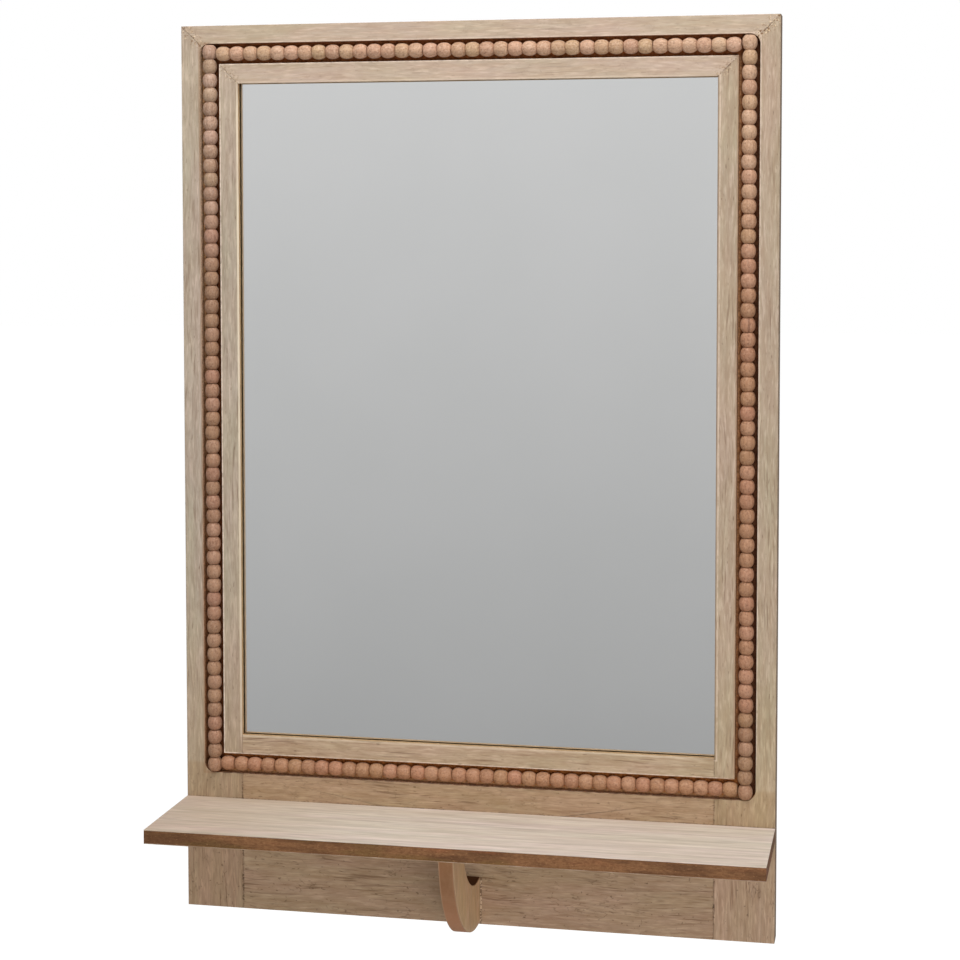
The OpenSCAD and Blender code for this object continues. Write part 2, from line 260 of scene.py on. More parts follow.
# Square to the right mitre, which runs from the corner of the mirror opening to the frame's corner
MITRE_ACROSS = Vector((TOP - SIGHT_HIGH, SIGHT_X - HALF_W)).normalized()


def add_groove_arris_rub_and_light(t, place, colour):
    """The groove's arrises are rubbed pale, with a painted highlight, on the sides that face the light, and
    have painted brown shade on the sides that turn away from it.
    """
    x = t.part(place, "X")
    z = t.part(place, "Z")
    inner = groove_ring(t, place, -GROOVE_HALF)
    outer = groove_ring(t, place, GROOVE_HALF)
    patchy = t.step(t.noise(place, 240.0, 2.0), 0.30, 0.62, 0.35, 1.0)
    inner_left = t.math("ADD", t.step(x, GROOVE_IN_X - 0.006, GROOVE_IN_X - 0.002, 0.6, 0.0),
                        t.step(x, -SIGHT_X - 0.006, -SIGHT_X, 0.35, 0.0))
    outer_high = t.product(t.step(z, GROOVE_MID_LOW + 0.01, GROOVE_MID_LOW + 0.03, 0.0, 0.45),
                           t.step(x, -GROOVE_MID_X - 0.003, -GROOVE_MID_X + 0.003))
    # Pale lines: rubbed wear with a painted highlight on the arrises that face the light
    for edge, off, amount in ((inner, -0.0003, inner_left), (outer, 0.0003, outer_high)):
        line = t.product(t.near(edge, off, 0.0005, 0.0006), patchy, amount)
        colour = t.blend(line, colour, PALE_RUB_AND_HIGHLIGHT)

    # Brown lines: painted shade on the arrises that turn away from the light
    shaded_left = t.product(t.near(outer, 0.0, 0.0006, 0.0012),
                          t.step(x, -GROOVE_MID_X, -GROOVE_MID_X + 0.003, 0.4, 0.0))
    shaded_right = t.product(t.near(inner, 0.0, 0.0005, 0.0010),
                           t.step(x, SIGHT_X, SIGHT_X + 0.003, 0.0, 0.4))
    return t.blend(t.math("ADD", shaded_left, shaded_right), colour, ARRIS_SHADE)


def add_sight_arris_light(t, place, colour):
    """The arris round the mirror has a painted highlight on the left, fainter below and above. On the right
    it has painted shade, with a pale line beside it."""
    x = t.part(place, "X")
    z = t.part(place, "Z")
    out = sight_ring(t, place)
    smooth = t.step(t.noise(t.mapped(place, scale=(1, 1, 0.3)), 120.0, 2.0), 0.30, 0.62, 0.7, 1.0)
    left = t.math("ADD", t.step(x, SIGHT_X - 0.03, SIGHT_X, 0.55, 0.0),
                  t.step(x, -SIGHT_X, -SIGHT_X + 0.002, 0.2, 0.0))
    left = t.product(left, t.step(z, SIGHT_LOW, SIGHT_LOW + 0.25, 0.6, 1.0),
                     t.step(z, SIGHT_HIGH - 0.02, SIGHT_HIGH, 1.0, 0.4))
    # Painted highlight on the arris's left side
    pale = t.product(t.near(out, 0.0008, 0.0006, 0.0006), smooth, left)
    colour = t.blend(pale, colour, srgb(238, 220, 192))

    # Painted shade on the arris's right side
    right = t.step(x, SIGHT_X - 0.001, SIGHT_X)
    dark = t.product(t.near(out, 0.0, 0.0006, 0.0006), right, 0.55)
    colour = t.blend(dark, colour, srgb(122, 98, 76))
    patchy = t.step(t.noise(place, 240.0, 2.0), 0.30, 0.62, 0.35, 1.0)
    pale = t.product(t.near(out, 0.0019, 0.0003, 0.0005), patchy, right, 0.5)
    return t.blend(pale, colour, srgb(226, 204, 182))


def add_seams(t, place, colour):
    """Dirt in the mitres and in the bottom rail's butt joints, painted contact shade along the shelf's top, a
    speckled dark and pale line beside the bracket's foot, and scuffs where the mitres were sanded."""
    z = t.part(place, "Z")
    across = t.math("ABSOLUTE", t.part(place, "X"))
    out = t.math("SUBTRACT", across, SIGHT_X)
    up = t.math("SUBTRACT", z, SIGHT_HIGH)
    mitre = t.math("ADD", t.product(out, MITRE_ACROSS.x), t.product(up, MITRE_ACROSS.y))
    above = t.step(up, -0.0004, 0.0)
    below = t.product(t.step(z, SIGHT_LOW - 0.0002, SIGHT_LOW, 1.0, 0.0),
                      t.step(z, GROOVE_MID_LOW, GROOVE_MID_LOW + 0.004, 1.0, 0.4))
    patchy_dirt_and_shade = t.product(t.step(t.noise(place, 110.0, 2.0, 0.6), 0.40, 0.60, 0.15, 0.9),
                     t.step(t.noise(place, 460.0, 2.0, 0.6), 0.42, 0.56, 0.15, 1.0))
    line = t.math("ADD", t.product(t.near(mitre, 0.0, 0.0001, 0.0008), above),
                  t.product(t.near(out, 0.0, 0.0003, 0.0011), below), clamp=True)
    line = t.product(line, t.step(z, SHELF_TOP - 0.01, SHELF_TOP, 1.0, 0.7), patchy_dirt_and_shade)
    colour = t.blend(line, colour, srgb(80, 56, 34))

    # A speckled dark and pale line on the rail beside the bracket, up to the arch's foot
    bracket_line = t.product(t.near(across, BRACKET_HALF + 0.0008, 0.0005, 0.0006),
                     t.step(z, ARCH_FOOT - 0.002, ARCH_FOOT + 0.002, 1.0, 0.0), 0.6)
    bright = t.step(t.noise(t.mapped(place, shift=(2, 2, 2)), 640.0, 1.0), 0.46, 0.56)
    colour = t.blend(bracket_line, colour, t.blend(bright, DIRT_AND_SHADE, srgb(226, 200, 168)))
    # Painted contact shade where the shelf's top meets the rail
    shelf_contact_shade = t.product(t.near(z, SHELF_TOP, 0.0003, 0.0006), patchy_dirt_and_shade, 0.7)
    colour = t.blend(shelf_contact_shade, colour, DIRT_AND_SHADE)

    outside = t.step(z, GROOVE_MID_HIGH, GROOVE_MID_HIGH + 0.01, 0.45, 0.9)
    scuffed = t.product(t.near(mitre, 0.0, 0.001, 0.007), above, outside)
    dark = t.step(t.noise(place, 620.0, 2.0, 0.6), 0.54, 0.64)
    colour = t.blend(t.product(scuffed, dark), colour, srgb(118, 82, 46))
    pale = t.step(t.noise(t.mapped(place, shift=(4, 4, 4)), 560.0, 2.0, 0.6), 0.56, 0.70)
    return t.blend(t.product(scuffed, pale), colour, srgb(232, 206, 168))


def add_tone_and_painted_light(t, place, colour):
    """The frame is painted palest at its top and darker and browner low down, a painted falloff of light from
    above, and browner still under the groove. Low down and below the shelf its right side is painted lighter
    than its left, as painted light from the right.
    """
    x = t.part(place, "X")
    z = t.part(place, "Z")
    high = t.step(z, GROOVE_MID_HIGH - 0.12, GROOVE_MID_HIGH)
    low = t.step(z, GROOVE_MID_LOW - 0.03, GROOVE_MID_LOW + 0.25, 1.0, 0.0)
    under = t.step(z, GROOVE_MID_LOW - 0.002, GROOVE_MID_LOW + 0.002, 1.0, 0.0)
    foot = t.step(z, SHELF_TOP - 0.001, SHELF_TOP, 1.0, 0.0)
    # Painted falloff of light from above: paler high up, darker and browner low down
    colour = t.tinted(colour, (1.035, 1.02, 1.015), high)
    colour = t.tinted(colour, (0.97, 0.93, 0.86), low)
    colour = t.tinted(colour, (0.93, 0.875, 0.795), under)
    colour = t.tinted(colour, (1.06, 1.0, 1.02), foot)

    # Painted light from the right: the right side lighter low down and below the shelf than the left side and
    # the rail between
    right = t.step(x, SIGHT_X - 0.0001, SIGHT_X + 0.0001)
    left = t.step(x, -SIGHT_X - 0.0001, -SIGHT_X + 0.0001, 1.0, 0.0)
    between = t.near(x, 0.0, SIGHT_X - 0.0001, 0.0002)
    for side, low_tone, foot_tone in ((right, (1.05, 1.08, 1.07), (1.08, 1.09, 1.16)),
                                      (left, (1.0, 0.98, 0.97), (1.0, 0.98, 0.95)),
                                      (between, (0.98, 0.975, 0.97), (0.95, 0.99, 1.01))):
        colour = t.tinted(colour, low_tone, t.product(side, low))
        colour = t.tinted(colour, foot_tone, t.product(side, foot))
    return colour


def marks(along):
    """Short dark cracks and dots, strongest below the shelf and faint above the groove."""
    def add_marks(t, place, colour):
        z = t.part(place, "Z")
        strength = t.product(t.step(z, SHELF_TOP - 0.001, SHELF_TOP, 1.0, 0.6),
                             t.step(z, GROOVE_BOTTOM, GROOVE_MID_LOW + 0.02, 1.0, 0.4))
        cracks = t.noise(t.mapped(place, scale=drawn_out(along, 0.35), shift=(3, 8, 2)), 190.0, 2.0, 0.6)
        some = t.step(t.noise(t.mapped(place, shift=(1, 6, 6)), 70.0, 2.0), 0.52, 0.66, 0.0, 0.42)
        crack = t.product(t.near(cracks, 0.5, 0.008, 0.022), some, strength)
        colour = t.blend(crack, colour, srgb(92, 68, 42))
        dot = t.step(t.noise(t.mapped(place, shift=(5, 5, 9)), 330.0, 1.0), 0.70, 0.78, 0.0, 0.5)
        return t.blend(t.product(dot, strength), colour, srgb(84, 60, 40))
    return add_marks


# ---- what shows on the shelf's and the bracket's veneer ----

def add_shelf_tone_and_shade(t, place, colour):
    """The shelf's top has painted shade that makes it darker and browner towards its left end, away from the
    light on the right, and has long dull blotches all over.
    """
    # Painted shade towards the left end
    left = t.step(t.part(place, "X"), -HALF_W, -0.05, 1.0, 0.0)
    colour = t.tinted(colour, (0.85, 0.78, 0.73), left)
    blotch = t.noise(t.mapped(place, scale=(0.08, 1, 1), shift=(2, 3, 4)), 160.0, 3.0, 0.65)
    return t.tinted(colour, (0.88, 0.866, 0.845), t.step(blotch, 0.34, 0.66))


def add_band_and_highlight(t, place, colour):
    """The bracket's side is rubbed pale and painted with the highlight of its rounded arris along its curved
    front edge, wider near the shelf, up to a thin brown line on the edge itself."""
    inside = t.math("SUBTRACT", ARC_R, arc_radius(t, place))
    wide = t.step(t.part(place, "Z"), 0.02, 0.085, 0.0022, 0.0050)
    band = t.step(t.math("DIVIDE", inside, wide), 0.5, 1.3, 0.5, 0.0)
    patchy = t.step(t.noise(place, 200.0, 2.0), 0.3, 0.6, 0.5, 1.0)
    # Rubbed pale band with a painted highlight of the rounded arris
    colour = t.blend(t.product(band, patchy), colour, srgb(206, 172, 138))
    edge = t.step(inside, 0.0001, 0.0003, 0.8, 0.0)
    return t.blend(edge, colour, srgb(150, 112, 82))


# ---- veneer ----

def veneer(name, along, tones, dark, streaks=1.0, finishing=(), fine=0.35, length=1.0):
    """Whitewashed straight-grained veneer. along is the grain's axis, and tones are its two main colours.
    streaks and fine say how strong the streaks and the fine fibres are, and length draws all of it out."""
    t = Tree(name)
    place = t.place()

    def drawn(at, stretch, shift=(0, 0, 0)):
        """at, for a pattern that is drawn out by stretch along the grain."""
        return t.mapped(at, scale=drawn_out(along, 1 / (stretch * length)), shift=shift)

    # The grain wanders slightly across its length
    wander = t.noise(drawn(place, 2.2), 14.0, 1.0, out="Color")
    wander = t.vector("MULTIPLY", t.vector("SUBTRACT", wander, (0.5, 0.5, 0.5)), (0.012, 0.012, 0.012))
    bent = t.vector("ADD", place, wander)

    patch = t.noise(drawn(bent, 4), 30.0, 2.0, 0.55)
    colour = t.blend(t.step(patch, 0.36, 0.64), tones[0], tones[1])
    rings = t.noise(drawn(bent, 11), 250.0, 3.0, 0.6)
    colour = t.blend(t.step(rings, 0.36, 0.68, 0.0, 0.36), colour, dark)
    fibre = t.noise(drawn(bent, 12), 900.0, 3.0, 0.65)
    colour = t.blend(t.step(fibre, 0.32, 0.70, 0.0, fine), colour, dark)
    pale = t.noise(drawn(bent, 8, (3, 1, 2)), 620.0, 2.0, 0.5)
    colour = t.blend(t.step(pale, 0.48, 0.74, 0.0, 0.30), colour, srgb(222, 203, 182))
    mottle = t.noise(drawn(place, 3.5, (6, 6, 1)), 280.0, 3.0, 0.6)
    mottle = t.blend(t.step(mottle, 0.34, 0.66), (0.95, 0.945, 0.94, 1), (1.035, 1.035, 1.035, 1))
    colour = t.blend(1.0, colour, mottle, "MULTIPLY")

    # The whitewash leaves pinkish and greenish patches
    wash = t.step(t.noise(drawn(place, 5, (8, 5, 3)), 44.0, 3.0, 0.6), 0.34, 0.66)
    wash = t.blend(wash, (1.02, 0.99, 1.02, 1), (0.987, 1.0, 0.965, 1))
    colour = t.blend(1.0, colour, wash, "MULTIPLY")

    # Dark streaks stand in groups, and are short
    groups = t.step(t.noise(drawn(place, 3, (5, 2, 7)), 40.0, 2.0), 0.42, 0.62)
    streak = t.step(t.noise(drawn(bent, 18, (1, 4, 2)), 620.0, 2.0, 0.5), 0.54, 0.68)
    streak = t.product(streak, groups, 0.46 * streaks)
    colour = t.blend(streak, colour, srgb(104, 76, 50))
    fleck = t.noise(drawn(place, 5, (2, 9, 4)), 640.0, 1.0)
    fleck = t.step(fleck, 0.70, 0.78, 0.0, 0.5 * streaks)
    colour = t.blend(fleck, colour, srgb(92, 66, 44))
    for add in finishing:
        colour = add(t, place, colour)

    relief = t.math("SUBTRACT", t.product(fibre, 0.6), streak)
    normal = t.bump(relief, 0.0004, 0.5, t.soft_arris(0.0008))
    rough = t.step(fibre, 0.3, 0.7, 0.56, 0.72)
    return t.finish(Base_Color=colour, Roughness=rough, Specular_IOR_Level=0.35, Normal=normal)


# The axes that grain runs along
LEVEL, UPRIGHT = 0, 2

STILE_FINISH = (add_tone_and_painted_light, marks(UPRIGHT), add_groove_arris_rub_and_light, add_sight_arris_light, add_seams)
RAIL_FINISH = (add_tone_and_painted_light, marks(LEVEL), add_groove_arris_rub_and_light, add_sight_arris_light, add_seams)
LEFT_TONES = (srgb(179, 167, 149), srgb(184, 168, 150))
RIGHT_TONES = (srgb(173, 157, 135), srgb(180, 160, 139))
TOP_TONES = (srgb(180, 165, 145), srgb(184, 165, 149))
BOTTOM_TONES = (srgb(185, 168, 145), srgb(189, 168, 148))
SHELF_TONES = (srgb(227, 216, 203), srgb(231, 217, 205))
UNDERSIDE_TONES = (srgb(164, 138, 112), srgb(170, 142, 116))
BRACKET_TONES = (srgb(197, 163, 118), srgb(203, 167, 125))
LEFT_VENEER = veneer("veneer_left", UPRIGHT, LEFT_TONES, srgb(140, 120, 98), 1.0, STILE_FINISH)
RIGHT_VENEER = veneer("veneer_right", UPRIGHT, RIGHT_TONES, srgb(144, 118, 92), 1.1, STILE_FINISH)
TOP_VENEER = veneer("veneer_top", LEVEL, TOP_TONES, srgb(168, 142, 116), 0.5, RAIL_FINISH, 0.28)
BOTTOM_VENEER = veneer("veneer_bottom", LEVEL, BOTTOM_TONES, srgb(146, 116, 86), 1.2, RAIL_FINISH)
SHELF_VENEER = veneer("veneer_shelf", LEVEL, SHELF_TONES, srgb(172, 150, 130), 0.5, (add_shelf_tone_and_shade,),
                      0.30, length=2.6)
UNDERSIDE_VENEER = veneer("veneer_shelf_underside", LEVEL, UNDERSIDE_TONES, srgb(132, 104, 78), 0.8)
BRACKET_VENEER = veneer("veneer_bracket", UPRIGHT, BRACKET_TONES, srgb(146, 114, 82), 0.6, (add_band_and_highlight,), 0.26)


# ---- what shows on the boards ----

def add_sight_stain(t, place, colour):
    """The wall round the mirror is a pale, worn yellow brown."""
    wall = t.near(sight_ring(t, place), 0.0, 0.0010, 0.0010)
    wear = t.step(t.noise(place, 160.0, 2.0), 0.3, 0.7, 0.8, 1.0)
    return t.blend(t.product(wall, wear), colour, srgb(188, 154, 112))


def painted_lit_walls(t, place):
    """How much painted light the groove gets, from 0 to 1, beside its walls that face the light, less of it
    lower down. These are the outer wall on the left, the lower wall below the mirror and the inner wall on
    the right."""
    x = t.part(place, "X")
    z = t.part(place, "Z")
    outer = t.product(t.step(x, -GROOVE_OUT_X + 0.0005, -GROOVE_OUT_X + 0.0030, 1.0, 0.0),
                      t.step(z, GROOVE_MID_LOW + 0.05, GROOVE_MID_HIGH, 0.12, 1.0))
    lower = t.product(t.step(z, GROOVE_BOTTOM + 0.0005, GROOVE_BOTTOM + 0.0030, 0.8, 0.0),
                      t.step(x, -GROOVE_MID_X, -GROOVE_MID_X + 0.02, 0.2, 1.0))
    half_height = (GROOVE_MID_HIGH - GROOVE_MID_LOW) / 2
    beside_mirror = t.near(z, GROOVE_MID_LOW + half_height, half_height - GROOVE_HALF, 0.001)
    inner = t.product(t.step(groove_ring(t, place, -GROOVE_HALF), 0.0005, 0.0028, 1.0, 0.0),
                      t.step(z, GROOVE_MID_LOW + 0.02, GROOVE_MID_HIGH - 0.2, 0.30, 0.55),
                      t.step(x, 0.0, 0.001), beside_mirror)
    return t.math("MAXIMUM", t.math("MAXIMUM", outer, lower), inner)


def add_groove_dye_and_shade(t, place, colour):
    """The routed groove: red brown, with painted shade that makes it darkest on the floor beside the upright
    rows and darker on the right, and painted light that makes it paler at its mouth and beside the walls that
    face the light.
    """
    x = t.part(place, "X")
    y = t.part(place, "Y")
    z = t.part(place, "Z")
    painted_lit = painted_lit_walls(t, place)
    right = t.step(x, GROOVE_MID_X, GROOVE_MID_X + 0.001)
    low = t.step(z, GROOVE_MID_LOW + GROOVE_HALF, GROOVE_MID_LOW + GROOVE_HALF + 0.001, 1.0, 0.0)
    level_row = t.step(t.math("ABSOLUTE", x), GROOVE_MID_X - 0.008, GROOVE_MID_X - 0.005, 1.0, 0.0)

    # From the mouth of the groove down its walls, and then the floor, with painted shade deepening inwards
    mouth = t.blend(painted_lit, srgb(182, 128, 88), srgb(234, 206, 176))
    deep = t.blend(painted_lit, srgb(168, 104, 60), srgb(222, 188, 152))
    # Painted shade deeper on the right of the right-hand row
    deep = t.blend(t.product(right, 0.5), deep, srgb(128, 76, 40))
    upright_floor = t.blend(right, srgb(106, 58, 28), srgb(84, 44, 20))
    level_floor = t.blend(low, srgb(152, 90, 48), srgb(184, 112, 54))
    floor_tone_and_shade = t.blend(level_row, upright_floor, level_floor)
    # Painted light on the floor beside the walls that face the light
    floor_tone_and_shade = t.blend(painted_lit, floor_tone_and_shade, srgb(204, 160, 118))
    dye_and_shade = t.blend(t.step(y, FRONT_Y + 0.0012, FRONT_Y + 0.0060), mouth, deep)
    dye_and_shade = t.blend(t.step(y, GROOVE_FLOOR_Y - 0.0010, GROOVE_FLOOR_Y - 0.0001), dye_and_shade, floor_tone_and_shade)

    # The left corner below is darker, and all of it is cloudy
    corner = t.product(t.step(x, -GROOVE_MID_X - 0.002, -GROOVE_MID_X + 0.008, 1.0, 0.0),
                       t.step(z, GROOVE_MID_LOW - 0.002, GROOVE_MID_LOW + 0.010, 0.75, 0.0))
    dye_and_shade = t.blend(corner, dye_and_shade, srgb(88, 50, 26))
    cloud = t.step(t.noise(t.mapped(place, shift=(7, 1, 3)), 560.0, 3.0, 0.6), 0.34, 0.66)
    cloud = t.blend(cloud, (0.70, 0.66, 0.62, 1), (1.28, 1.26, 1.22, 1))
    dye_and_shade = t.blend(1.0, dye_and_shade, cloud, "MULTIPLY")

    inside = t.product(t.near(groove_ring(t, place, 0.0), 0.0, GROOVE_HALF + 0.0005, 0.001),
                       t.step(y, GROOVE_FLOOR_Y + 0.0002, GROOVE_FLOOR_Y + 0.0008, 1.0, 0.0))
    patchy = t.step(t.noise(place, 420.0, 3.0, 0.6), 0.36, 0.64, 0.72, 1.0)
    return t.blend(t.product(inside, patchy), colour, dye_and_shade)


def add_outer_wash(t, place, colour):
    """The frame's left and right sides are rubbed with a little of the grey wash."""
    side = t.step(t.math("ABSOLUTE", t.part(place, "X")), HALF_W - 0.0006, HALF_W - 0.0003)
    patchy = t.step(t.noise(t.mapped(place, scale=(1, 1, 0.2)), 300.0, 2.0, 0.6), 0.34, 0.66, 0.35, 0.75)
    return t.blend(t.product(side, patchy), colour, srgb(150, 138, 120))


def add_bracket_tone_and_light(t, place, colour):
    """The bracket's brown edge: paler and pinker towards its foot, with a painted highlight on its arrises
    and painted shade in the arch.
    """
    low = t.step(t.part(place, "Z"), 0.02, 0.07, 0.65, 0.0)
    colour = t.blend(low, colour, srgb(172, 122, 90))
    arch_r = ARC_R - BAND_DEPTH
    # Painted shade on the arch's inner face
    arch = t.step(arc_radius(t, place), arch_r + 0.003, arch_r + 0.004, 0.85, 0.0)
    colour = t.blend(arch, colour, srgb(84, 52, 26))
    # Painted highlight on the rounded arrises
    flat = t.near(t.part(place, "X"), 0.0, 0.0046, 0.0006)
    return t.blend(t.product(t.math("SUBTRACT", 1.0, flat), 0.2), colour, srgb(180, 140, 108))


# ---- boards ----

def brown_board(name, tones, contrast=1.0, stretch=(0.14, 1, 1), finishing=()):
    """The raw edge of brown fibreboard, rubbed with wax: soft blotches and fine short fibres."""
    t = Tree(name)
    place = t.place()
    blotch = t.noise(t.mapped(place, scale=stretch), 110.0, 3.0, 0.6)
    colour = t.blend(t.step(blotch, 0.40, 0.60), tones[0], tones[1])
    tint = t.noise(t.mapped(place, scale=stretch, shift=(7, 3, 1)), 70.0, 2.0)
    colour = t.blend(t.step(tint, 0.54, 0.66, 0.0, 0.6 * contrast), colour, srgb(148, 88, 58))
    colour = t.blend(t.step(tint, 0.34, 0.46, 0.6 * contrast, 0.0), colour, srgb(108, 84, 46))
    fibre = t.noise(t.mapped(place, scale=(0.4, 1, 1)), 900.0, 3.0, 0.7)
    colour = t.blend(t.step(fibre, 0.38, 0.66, 0.0, 0.45 * contrast), colour, srgb(76, 46, 28))
    speck = t.noise(t.mapped(place, scale=(0.5, 1, 1)), 760.0, 1.0)
    colour = t.blend(t.step(speck, 0.62, 0.74, 0.0, 0.35 * contrast), colour, srgb(178, 130, 90))
    for add in finishing:
        colour = add(t, place, colour)
    return t.finish(Base_Color=colour, Roughness=t.step(fibre, 0.3, 0.7, 0.6, 0.78),
                    Specular_IOR_Level=0.15, Normal=t.bump(fibre, 0.0003, 0.6))


FRAME_BROWN = (srgb(128, 92, 62), srgb(112, 79, 53))
SHELF_BROWN = (srgb(134, 94, 62), srgb(104, 71, 46))
BRACKET_BROWN = (srgb(141, 103, 73), srgb(134, 95, 65))
GROOVED = (add_groove_dye_and_shade, add_sight_stain, add_outer_wash)
FRAME_BOARD = brown_board("frame_fibreboard", FRAME_BROWN, 0.4, (0.6, 1, 0.6), GROOVED)
SHELF_BOARD = brown_board("shelf_fibreboard", SHELF_BROWN)
BRACKET_BOARD = brown_board("bracket_fibreboard", BRACKET_BROWN, 0.12, (1, 1, 0.3), (add_bracket_tone_and_light,))


# ---- other materials ----

def dowel_wood():
    """Plain beech."""
    t = Tree("beech_dowel")
    grain = t.noise(t.mapped(t.place(), scale=(0.05, 1, 1)), 900.0, 3.0, 0.6)
    colour = t.blend(t.step(grain, 0.3, 0.7), srgb(205, 176, 134), srgb(178, 144, 102))
    return t.finish(Base_Color=colour, Roughness=0.6, Normal=t.bump(grain, 0.0002, 0.5))


def float_glass():
    """The pane: clear float glass, with the faintest green."""
    t = Tree("float_glass")
    haze = t.noise(t.place(), 8.0, 2.0)
    colour = t.blend(t.step(haze, 0.3, 0.7), (0.998, 1.0, 0.999, 1), (0.992, 0.996, 0.994, 1))
    return t.finish(Base_Color=colour, Roughness=0.0, IOR=1.52, Transmission_Weight=1.0)


def silvered():
    """The silvering on the back of the pane, with the faintest unevenness."""
    t = Tree("silvering")
    haze = t.noise(t.place(), 8.0, 2.0)
    colour = t.blend(t.step(haze, 0.3, 0.7), (0.925, 0.93, 0.93, 1), (0.91, 0.915, 0.915, 1))
    return t.finish(Base_Color=colour, Metallic=1.0, Roughness=0.0)


# The press leaves a mesh of this many radians a metre on hardboard, so a wave takes 1.5 mm
SCREEN = 4200.0


def hardboard():
    """The mirror's back: pressed brown fibres, with the screen pattern of the press."""
    t = Tree("hardboard_back")
    place = t.place()
    fibre = t.noise(place, 420.0, 4.0, 0.7)
    colour = t.blend(t.step(fibre, 0.3, 0.7), srgb(128, 92, 60), srgb(100, 68, 42))
    chips = t.noise(t.mapped(place, scale=(1, 1, 0.5)), 1500.0, 2.0, 0.6)
    colour = t.blend(t.step(chips, 0.58, 0.7, 0.0, 0.6), colour, srgb(160, 122, 84))
    waves = [t.math("SINE", t.product(t.part(place, axis), SCREEN)) for axis in ("X", "Z")]
    normal = t.bump(t.product(*waves), 0.0001, 0.4, t.bump(fibre, 0.0002, 0.5))
    return t.finish(Base_Color=colour, Roughness=0.75, Specular_IOR_Level=0.25, Normal=normal)


def metal(name, light, dark, roughness):
    """Plated steel with a fine rolled grain and faint stains."""
    t = Tree(name)
    place = t.place()
    spangle = t.noise(place, 260.0, 3.0, 0.6)
    colour = t.blend(t.step(spangle, 0.3, 0.7), light, dark)
    grain = t.noise(t.mapped(place, scale=(1, 1, 0.05)), 3000.0, 2.0)
    rough = t.step(spangle, 0.3, 0.7, roughness - 0.06, roughness + 0.1)
    return t.finish(Base_Color=colour, Metallic=1.0, Roughness=rough, Normal=t.bump(grain, 0.00005, 0.4))


def twine():
    """Waxed cotton twine, twisted."""
    t = Tree("waxed_twine")
    strands = t.noise(t.mapped(t.place(), turn=(0, 0.6, 0)), 2600.0, 2.0)
    colour = t.blend(t.step(strands, 0.3, 0.7), srgb(126, 98, 66), srgb(84, 62, 40))
    return t.finish(Base_Color=colour, Roughness=0.8, Normal=t.bump(strands, 0.0002, 0.8))


ZINC = metal("zinc_plated_steel", srgb(196, 199, 203), srgb(166, 170, 175), 0.34)
BRASSY = metal("yellow_zinc_steel", srgb(205, 178, 104), srgb(182, 150, 80), 0.32)


# ---- beads ----

# A bead is a superellipse with flat ends. With its ends whole it would be BEAD_WHOLE times as long
BEAD_SQUARENESS = 2.2
BEAD_WHOLE = 1.18
BEAD_HOLE = 0.0010
BEAD_RINGS = 13
BEAD_SIDES = 24

# How much a bead may be wider and longer than the drawn one, tilted (radians) and out of line
WIDER = (-0.022, 0.004)
LONGER = (-0.006, 0.003)
TILT = (-0.035, 0.035)
SLIDE_X = (-0.00022, 0.00022)
SLIDE_Y = (-0.0001, 0.0002)

# A bead whose third random number is no less than this has a dark streak from end to end
STREAKED = 0.96


def bead_wood():
    """Turned wood. Each bead has its own colour and its own piece of grain, from the bead attributes."""
    t = Tree("turned_bead_wood")
    own = t.attribute("bead_place")
    pick = t.attribute("bead_pick")
    hue, light, rarity = (t.part(pick, axis) for axis in ("X", "Y", "Z"))
    colour = t.blend(hue, srgb(187, 154, 119), srgb(194, 150, 124))
    colour = t.blend(t.step(light, 0.0, 0.45, 0.30, 0.0), colour, srgb(156, 122, 98))
    colour = t.blend(t.step(light, 0.60, 1.0, 0.0, 0.40), colour, srgb(206, 172, 146))
    rings = t.noise(t.mapped(own, scale=(1, 1, 0.2)), 460.0, 2.0, 0.55, 0.6)
    colour = t.blend(t.step(rings, 0.36, 0.66, 0.0, 0.30), colour, srgb(140, 99, 71))
    pits = t.noise(t.mapped(own, scale=(1, 1, 0.7)), 760.0, 2.0, 0.6)
    pit = t.step(pits, 0.53, 0.64)
    colour = t.blend(t.product(pit, 0.38), colour, srgb(104, 68, 44))
    chalk = t.step(t.noise(own, 640.0, 2.0), 0.52, 0.64, 0.0, 0.26)
    colour = t.blend(chalk, colour, srgb(226, 198, 174))

    # Beads have painted shade low down, darker and redder, as a falloff of light from above, and each row has
    # its own tone
    place = t.place()
    x = t.part(place, "X")
    z = t.part(place, "Z")
    low = t.step(z, GROOVE_MID_HIGH - 0.26, GROOVE_MID_HIGH - 0.01, 1.0, 0.0)
    colour = t.tinted(colour, (0.76, 0.63, 0.55), low)
    left_tone = t.blend(t.step(z, 0.30, 0.58), (0.95, 1.02, 1.11, 1), (0.85, 0.89, 0.97, 1))
    colour = t.blend(t.near(x, -GROOVE_MID_X, 0.006, 0.002), colour, left_tone, "MULTIPLY")
    right_foot = t.product(t.near(x, GROOVE_MID_X, 0.006, 0.002), t.step(z, 0.14, 0.22, 1.0, 0.0))
    colour = t.tinted(colour, (0.87, 0.95, 0.98), right_foot)
    bottom_row = t.step(z, GROOVE_MID_LOW + 0.006, GROOVE_MID_LOW + 0.007, 1.0, 0.0)
    colour = t.tinted(colour, (1.05, 1.05, 1.04), bottom_row)

    # The bead ends, where beads meet, are a little darker
    darker_ends = t.step(t.attribute("bead_end", "Fac"), 0.80, 1.0, 0.0, 0.10)
    colour = t.blend(darker_ends, colour, srgb(138, 84, 50))
    streak = t.product(t.near(t.part(own, "Y"), 0.0, 0.0005, 0.0006),
                       t.step(rarity, STREAKED, STREAKED + 0.01, 0.0, 0.6))
    colour = t.blend(streak, colour, srgb(92, 54, 34))
    normal = t.bump(t.math("SUBTRACT", t.product(rings, 0.3), pit), 0.00018, 0.6)
    return t.finish(Base_Color=colour, Roughness=t.step(pits, 0.3, 0.7, 0.5, 0.68),
                    Specular_IOR_Level=0.4, Normal=normal)


BEAD = bead_wood()


